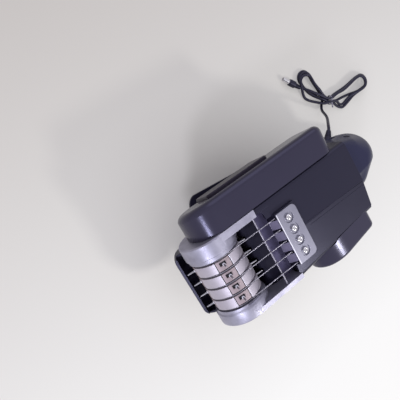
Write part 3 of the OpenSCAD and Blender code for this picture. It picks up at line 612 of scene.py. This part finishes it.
# Left side: motor cover, turned in towards the rear, its top falling with the roof. Its lip is
# given as depths below the top with the reach there
motorSetup = {"place": (-91, 67.4, 19), "turn": 9, "fall": 7, "back": -78, "low": -46.8, "width": 44,
              "rear": 10, "rim": 5.5, "nose": 34, "lip": ((0.1, 4.4), (1.3, 1.0), (4.2, 0)),
              "wallAt": (-59.5, 45.15, 0), "wallTurn": 4.72, "rearAt": (-168.1, 0, 0)}
half = -motorSetup["low"] / 2 - 0.01
bm = mouldedSlab((motorSetup["back"], motorSetup["low"]), (-0.1, -0.1), -motorSetup["width"], -0.1,
                 (half, half, motorSetup["rear"], motorSetup["rear"]), motorSetup["rim"], segments=28,
                 rimSegments=8)
for vert in bm.verts:
    share = (vert.co.x - motorSetup["back"]) / (-half - motorSetup["back"])
    vert.co.x += (half - motorSetup["nose"]) * min(1, share) * min(1, -vert.co.x / half)
bmesh.ops.transform(bm, verts=bm.verts, matrix=Matrix.Translation(motorSetup["place"])
                    @ Matrix.Rotation(math.radians(motorSetup["turn"]), 4, "Z")
                    @ Matrix.Rotation(math.radians(-motorSetup["fall"]), 4, "X"))
wallNormal = Matrix.Rotation(math.radians(motorSetup["wallTurn"]), 3, "Z") @ Vector((0, 1, 0))
trimBehind(bm, motorSetup["wallAt"], wallNormal)
trimBehind(bm, motorSetup["rearAt"], (1, 0, 0))
# A thin lip along the top laps over the rounded edge of the body, so that no groove is left
topNormal = (Matrix.Rotation(math.radians(motorSetup["turn"]), 3, "Z")
             @ Matrix.Rotation(math.radians(-motorSetup["fall"]), 3, "X") @ Vector((0, 0, 1)))
inward = topNormal.cross(wallNormal).normalized().cross(topNormal) * -1
lip = motorSetup["lip"]
for depth in [point[0] for point in lip[1:]]:
    bmesh.ops.bisect_plane(bm, geom=bm.verts[:] + bm.edges[:] + bm.faces[:], dist=0.001,
                           plane_co=Vector(motorSetup["place"]) - depth * topNormal, plane_no=topNormal)
for vert in bm.verts:
    if abs((vert.co - Vector(motorSetup["wallAt"])).dot(wallNormal)) < 0.01:
        depth = (Vector(motorSetup["place"]) - vert.co).dot(topNormal)
        for (high, farReach), (deep, nearReach) in zip(lip, lip[1:]):
            if high - 0.2 <= depth < deep:
                share = (deep - depth) / (deep - high)
                vert.co += inward * (nearReach + (farReach - nearReach) * share)
                break
finishPiece(bm, "motorCover", "tool", [coverAbs], ["motor_cover"])
print("housing and covers made")

# Grip: one smooth moulding with the heel. root and way are the shaft's axis, heel and ball the
# CAD's ball, bulge and shrink what it becomes, rear the plane behind the housing
gripSetup = {"voxel": 1.2, "smoothing": 16, "factor": 0.5, "root": (-188, 0, -28), "way": (-0.743, 0, -0.669),
             "heel": (-194, -6, -24), "ball": 32.9, "cut": -203, "bulge": (-200.5, -9.5, -20),
             "shrink": 0.833, "lobe": (-176, -38, -12), "slim": 0.48, "shear": 0.36, "rear": -168.6,
             "seat": 0.5,
             "fadeDown": (2, 32), "fadeBack": (4, 22), "fadeLobe": (10, 22), "slimBack": (4, 28),
             "slimUp": (-45, -28), "slot": (-197.5, -34.6, -4.2)}
bm = copyNodes("grip_left", "grip_right")
# The halves lose the faces where they meet, so that they merge into one shell
split = [f for f in bm.faces if all(abs(v.co.y) < 0.01 for v in f.verts)]
bmesh.ops.delete(bm, geom=split, context="FACES")
bmesh.ops.remove_doubles(bm, verts=bm.verts, dist=weldSetup["slab"])
# The back of the ball once more, which closes the pocket that the first finger groove leaves there
ball = bmesh.ops.create_uvsphere(bm, u_segments=96, v_segments=48, radius=gripSetup["ball"],
                                 matrix=Matrix.Translation(gripSetup["heel"]))["verts"]
ballEdges = list({e for v in ball for e in v.link_edges})
ballFaces = list({f for v in ball for f in v.link_faces})
cut = bmesh.ops.bisect_plane(bm, geom=ball + ballEdges + ballFaces, plane_co=(gripSetup["cut"], 0, 0),
                             plane_no=(1, 0, 0), clear_outer=True)["geom_cut"]
bmesh.ops.edgeloop_fill(bm, edges=[e for e in cut if isinstance(e, bmesh.types.BMEdge)])
mesh = bpy.data.meshes.new("gripDraft")
bm.to_mesh(mesh)
bm.free()
draft = bpy.data.objects.new("gripDraft", mesh)
scene.collection.objects.link(draft)
remesh = draft.modifiers.new("remesh", "REMESH")
remesh.mode = "VOXEL"
remesh.voxel_size = gripSetup["voxel"]
smooth = draft.modifiers.new("smooth", "SMOOTH")
smooth.factor = gripSetup["factor"]
smooth.iterations = gripSetup["smoothing"]
bm = bmesh.new()
bm.from_mesh(evaluatedMesh(draft))
bpy.data.objects.remove(draft)
# The heel's ball is drawn smaller and further back, and its left shoulder slimmer, without
# moving the shaft, the lobe of the lead or the seat on the housing
for vert in bm.verts:
    down = (vert.co - Vector(gripSetup["root"])).dot(Vector(gripSetup["way"]))
    back = gripSetup["rear"] - vert.co.x
    fromLobe = (vert.co - Vector(gripSetup["lobe"])).length
    share = ((1 - ease(*gripSetup["fadeDown"], down)) * ease(*gripSetup["fadeBack"], back)
             * ease(*gripSetup["fadeLobe"], fromLobe))
    moved = Vector(gripSetup["bulge"]) + (vert.co - Vector(gripSetup["heel"])) * gripSetup["shrink"]
    vert.co += (moved - vert.co) * share
    if vert.co.y > 0:
        above = ease(*gripSetup["slimUp"], vert.co.z)
        back = gripSetup["rear"] - vert.co.x
        vert.co.z -= gripSetup["shear"] * vert.co.y * above
        vert.co.y *= 1 - gripSetup["slim"] * (1 - ease(*gripSetup["slimBack"], back)) * above
    vert.co.x += gripSetup["seat"] * (1 - ease(0, 4, gripSetup["rear"] - vert.co.x))
bm.normal_update()
slotSeat = min(bm.verts, key=lambda vert: (vert.co - Vector(gripSetup["slot"])).length)
slotAt = slotSeat.co.copy()
slotUp = slotSeat.normal.copy()
finishPiece(bm, "gripBody", "tool", [gripAbs], ["grip_left", "grip_right"],
            smoothAngle=60, weighted=False)

# Slot in the heel's top, drawn as a flat dark ellipsoid on the surface: painted shade for the hollow
slotSetup = {"size": (3.3, 1.3, 0.7), "along": (-0.65, 0.16, 0.63)}
bm = bmesh.new()
bmesh.ops.create_uvsphere(bm, u_segments=24, v_segments=12, radius=1)
bmesh.ops.scale(bm, vec=slotSetup["size"], verts=bm.verts)
slotAcross = slotUp.cross(Vector(slotSetup["along"])).normalized()
slotTurn = Matrix((slotAcross.cross(slotUp), slotAcross, slotUp)).transposed().to_4x4()
bmesh.ops.transform(bm, matrix=Matrix.Translation(slotAt) @ slotTurn, verts=bm.verts)
finishPiece(bm, "heelSlotShade", "tool", [darkSteelAndShade])
refineNode("grip_cap", "tool", gripAbs, soft=0.4, angle=25, segments=2)
refineNode("grip_knob", "tool", panelAbs, soft=0.4, angle=25, segments=2)
print("grip made")

for side in ("left", "right"):
    refineNode("hood_" + side, "tool", housingAbs, soft=0.6, angle=35, segments=3)
print("hood made")

for side in ("left", "right"):
    refineNode("cheek_" + side, "tool", castAluminium, soft=0.6, angle=30, segments=3)
# Painted highlight: the edges of the rings that face outwards are drawn bright
for number in range(1, 5):
    refineNode("ring_%d" % number, "drum", turnedAluminium, soft=0.3, angle=40, segments=2,
               highlight=highlightSteel)

# Tooth plates: curved sheet with a square hole, out of which the tooth rises; a dark sheet at the bottom of
# each hole is painted shade in the pocket. hole is its near and far end in degrees and its two sides in mm,
# pocketLap how far that dark sheet reaches past the hole in the same units, and tooth the (radius, height)
# points
toothSetup = {"radius": 24.3, "thick": 1.55, "span": 35.2, "width": 9.7, "hole": (-6, 9, -3.1, 0.6),
              "border": 1.1, "collar": 0.7, "first": 78, "pitch": 12.5, "pocketDepth": 1.3,
              "pocketThick": 0.25, "pocketLap": (0.4, 0.2),
              "tooth": [(0, -2.2), (1.5, -2.2), (1.5, 0.1), (1.3, 0.45), (0.95, 0.6), (0.82, 4), (0.55, 7.2),
                        (0.38, 7.65), (0, 7.75)]}


# Point on a cylinder round the drum's axis
def around(radius, y, degrees):
    return Vector((radius * math.cos(math.radians(degrees)), y, radius * math.sin(math.radians(degrees))))


# Sheet bent round the drum's axis on a grid of angles and widths, without the cells to skip
def curvedSheet(bm, radius, thick, angles, widths, skip):
    grid = [[bm.verts.new(around(radius, y, angle)) for y in widths] for angle in angles]
    faces = [bm.faces.new((grid[i][j], grid[i][j + 1], grid[i + 1][j + 1], grid[i + 1][j]))
             for i in range(len(angles) - 1) for j in range(len(widths) - 1)
             if not skip(angles[i], widths[j])]
    grown = bmesh.ops.extrude_face_region(bm, geom=faces, use_keep_orig=True)
    for vert in [g for g in grown["geom"] if isinstance(g, bmesh.types.BMVert)]:
        shrink = (radius - thick) / radius
        vert.co = Vector((vert.co.x * shrink, vert.co.y, vert.co.z * shrink))


for number in range(1, 5):
    middle = (number - 2.5) * toothSetup["pitch"]
    sheetBm, pocketShadeBm, toothBm = bmesh.new(), bmesh.new(), bmesh.new()
    near, far, sideRight, sideLeft = toothSetup["hole"]
    lapRound, lapAcross = toothSetup["pocketLap"]
    for quarter in range(4):
        at = toothSetup["first"] + 90 * quarter
        ends = (at - toothSetup["span"] / 2, at + toothSetup["span"] / 2)
        holeFrom, holeTo = at - far, at - near
        inner = (ends[0] + toothSetup["border"], ends[1] - toothSetup["border"])
        angles = ([ends[0]] + [inner[0] + (holeFrom - inner[0]) * i / 3 for i in range(3)]
                  + [holeFrom + (holeTo - holeFrom) * i / 5 for i in range(6)]
                  + [holeTo + (inner[1] - holeTo) * i / 4 for i in range(1, 5)] + [ends[1]])
        halfWidth = toothSetup["width"] / 2
        widths = [middle + w for w in (-halfWidth, sideRight, sideLeft, halfWidth)]
        curvedSheet(sheetBm, toothSetup["radius"], toothSetup["thick"], angles, widths,
                    lambda angle, y: holeFrom - 0.01 < angle < holeTo - 0.01 and abs(y - widths[1]) < 0.01)
        # Painted shade: a thin dark sheet below each hole stands for the pocket's shade
        curvedSheet(pocketShadeBm, toothSetup["radius"] - toothSetup["pocketDepth"], toothSetup["pocketThick"],
                    [holeFrom - lapRound, (holeFrom + holeTo) / 2, holeTo + lapRound],
                    [widths[1] - lapAcross, widths[2] + lapAcross], lambda angle, y: False)
        root = around(toothSetup["radius"], middle, at)
        tooth = turnProfile(toothSetup["tooth"], steps=16)
        bmesh.ops.transform(tooth, matrix=facing(root, root - Vector((0, middle, 0))), verts=tooth.verts)
        draft = bpy.data.meshes.new("toothDraft")
        tooth.to_mesh(draft)
        tooth.free()
        toothBm.from_mesh(draft)
        bpy.data.meshes.remove(draft)
    softenEdges(sheetBm, width=0.18, angle=40, segments=1)
    rim = math.radians(toothSetup["span"] / 2 - toothSetup["border"])
    for face in sheetBm.faces:
        place = face.calc_center_median()
        turn = math.atan2(place.z, place.x) - math.radians(toothSetup["first"])
        face.material_index = int(abs((turn + math.pi / 4) % (math.pi / 2) - math.pi / 4) > rim)
    finishPiece(sheetBm, "toothPlates%d" % number, "drum", [toothPlate, darkSteelAndShade],
                ["tooth_plates_%d" % number], smoothAngle=30)
    finishPiece(pocketShadeBm, "toothPocketShades%d" % number, "drum", [darkSteelAndShade])
    # Painted highlight: faces near each tooth's root get the bright highlight metal
    for face in toothBm.faces:
        place = face.calc_center_median()
        face.material_index = int(math.hypot(place.x, place.z) < toothSetup["radius"] + toothSetup["collar"])
    finishPiece(toothBm, "teeth%d" % number, "drum", [toothSteel, highlightSteel])
print("drum made")

# Tension plate; its bent comb of tabs is painted darker as shade, and the tabs' free edges and a thin bar
# along the plate's front edge carry a painted highlight
plateSetup = {"soft": 0.3, "tabsFrom": -59.7, "glintFrom": -56, "barAt": (-60.3, 0, 29.1),
              "bar": (0.9, 55.2, 0.5)}
bm = copyNodes("tension_plate")
glintFaces = set(softenEdges(bm, width=plateSetup["soft"], angle=35, segments=2))
for face in bm.faces:
    place = face.calc_center_median()
    face.material_index = int(place.x > plateSetup["tabsFrom"])
    if place.x > plateSetup["glintFrom"] and face in glintFaces:
        face.material_index = 2
# Painted highlight: a thin bright bar along the plate's front edge
barPlace = Matrix.Translation(plateSetup["barAt"]) @ Matrix.Diagonal((*plateSetup["bar"], 1))
bar = bmesh.ops.create_cube(bm, size=1, matrix=barPlace)
for face in {f for v in bar["verts"] for f in v.link_faces}:
    face.material_index = 2
finishPiece(bm, "tensionPlate", "tool", [brushedPlate, tabShadeSteel, highlightSteel],
            ["tension_plate"], recalc=False)

# Guard wires: from the comb over the drum and round it, then down on to the shroud
wireSetup = {"count": 5, "pitch": 12.5, "radius": 0.52, "atR": 23.4, "rise": 3.2, "back": 60.2,
             "straight": (1, 0.6, 0.2), "end": 62, "foot": 4, "flare": 2.5, "stub": 35.85, "steps": 16}
wireBm = bmesh.new()
for number in range(wireSetup["count"]):
    points = [Vector((-wireSetup["back"] * share, 0, wireSetup["atR"])) for share in wireSetup["straight"]]
    for step in range(wireSetup["steps"] + 1):
        turn = math.radians(90 - (90 + wireSetup["end"]) * step / wireSetup["steps"])
        points.append(Vector((wireSetup["atR"] * math.cos(turn), 0, wireSetup["atR"] * math.sin(turn))))
    low = math.radians(-wireSetup["end"] - wireSetup["foot"])
    points += [Vector((r * math.cos(low), 0, r * math.sin(low)))
               for r in (wireSetup["atR"] + wireSetup["flare"], wireSetup["stub"])]
    across = (number - (wireSetup["count"] - 1) / 2) * wireSetup["pitch"]
    place = Matrix.Translation((0, across, 0)) @ Matrix.Rotation(math.radians(wireSetup["rise"]), 4, "Y")
    tubeMesh(wireBm, [place @ p for p in points], wireSetup["radius"], resolution=3)
finishPiece(wireBm, "guardWires", "tool", [stainlessWire], ["guard_wires"])

# Bolts: round heads with a socket, as (radius, height) points
boltSetup = {"x": -71, "z": 28.2, "pitch": 12.5,
             "profile": [(0, -3), (1.75, -3), (1.75, 0), (3.3, 0), (3.3, 1.2), (3.05, 1.9), (2.5, 2.45),
                         (1.7, 2.75), (1.5, 2.7), (1.45, 1.6), (0, 1.5)]}
for number in range(1, 5):
    bm = turnProfile(boltSetup["profile"], steps=40)
    boltAt = (boltSetup["x"], (number - 2.5) * boltSetup["pitch"], boltSetup["z"])
    bmesh.ops.translate(bm, verts=bm.verts, vec=boltAt)
    finishPiece(bm, "bolt%d" % number, "tool", [nickelPlate], ["tension_bolt_%d" % number])

# What hardly shows keeps its CAD mesh
for node, material in (("drum_core", darkSteelAndShade), ("cross_rod", stainlessWire), ("motor", darkSteelAndShade)):
    mesh = frame["nodes"][node].data
    mesh.materials.clear()
    mesh.materials.append(material)
print("head made")

# Pale floor, brighter towards the tool's left. The camera and mirrors see it a little brighter
# still, but not near the tool, where the slots would show that light
stageSetup = {"near": "#c2bcb1", "far": "#e2e0da", "seenNear": "#c1bdbf", "seenFar": "#f6f6f7", "seen": 0.45,
              "across": (-0.35, 0.25), "tool": (0.054, 0.026, 0), "fade": (0.09, 0.19), "size": 3}
material, tree, shader, coords = startMaterial("paleFloor", stageSetup["near"], 0.9)
across = addNode(tree, "ShaderNodeSeparateXYZ", links={"Vector": coords}).outputs["Y"]
blend = mapRange(tree, across, stageSetup["across"])
tree.links.new(mixColour(tree, blend, stageSetup["near"], stageSetup["far"]), shader.inputs["Base Color"])
path = addNode(tree, "ShaderNodeLightPath")
direct = addNode(tree, "ShaderNodeMath",
                 links={0: path.outputs["Is Camera Ray"], 1: path.outputs["Is Glossy Ray"]})
seen = addNode(tree, "ShaderNodeMath", links={0: direct.outputs[0], 1: path.outputs["Is Transmission Ray"]},
               use_clamp=True)
away = addNode(tree, "ShaderNodeVectorMath", {1: stageSetup["tool"]}, {0: coords}, operation="DISTANCE")
openFloor = mapRange(tree, away.outputs["Value"], stageSetup["fade"], (0, stageSetup["seen"]))
share = addNode(tree, "ShaderNodeMath", links={0: seen.outputs[0], 1: openFloor}, operation="MULTIPLY")
glow = addNode(tree, "ShaderNodeEmission",
               links={"Color": mixColour(tree, blend, stageSetup["seenNear"], stageSetup["seenFar"])})
both = addNode(tree, "ShaderNodeMixShader",
               links={0: share.outputs[0], 1: shader.outputs[0], 2: glow.outputs[0]})
tree.links.new(both.outputs[0], tree.nodes["Material Output"].inputs["Surface"])
floorBm = bmesh.new()
bmesh.ops.create_grid(floorBm, x_segments=1, y_segments=1, size=stageSetup["size"])
floorMesh = bpy.data.meshes.new("floor")
floorBm.to_mesh(floorMesh)
floorBm.free()
floorMesh.materials.append(material)
floor = bpy.data.objects.new("floor", floorMesh)
scene.collection.objects.link(floor)

# Soft lamps over the head: direction, distance, size in metres, watts and colour of each
lightSetup = {"sky": "#e6e6ee", "skyStrength": 0.88, "aim": (0.06, 0, 0.09),
              "lamps": [("front", (0.70, 0.31, 0.64), 1.0, 0.16, 3.8, "#eef0ff"),
                        ("top", (-0.26, 0.65, 0.69), 1.1, 0.14, 4.6, "#ffffff"),
                        ("side", (-0.35, -0.75, 0.55), 1.1, 0.9, 2.0, "#e8e8ff")]}
world = bpy.data.worlds.new("world")
scene.world = world
world.use_nodes = True
sky = world.node_tree.nodes["Background"]
sky.inputs["Color"].default_value = linearColour(lightSetup["sky"])
sky.inputs["Strength"].default_value = lightSetup["skyStrength"]
for name, way, distance, size, power, colour in lightSetup["lamps"]:
    lampData = bpy.data.lights.new(name, "AREA")
    lampData.shape = "DISK"
    lampData.size = size
    lampData.energy = power
    lampData.color = linearColour(colour)[:3]
    lamp = bpy.data.objects.new(name, lampData)
    scene.collection.objects.link(lamp)
    toLamp = Vector(way).normalized()
    lamp.matrix_world = facing(Vector(lightSetup["aim"]) + distance * toLamp, toLamp)
print("stage lit")
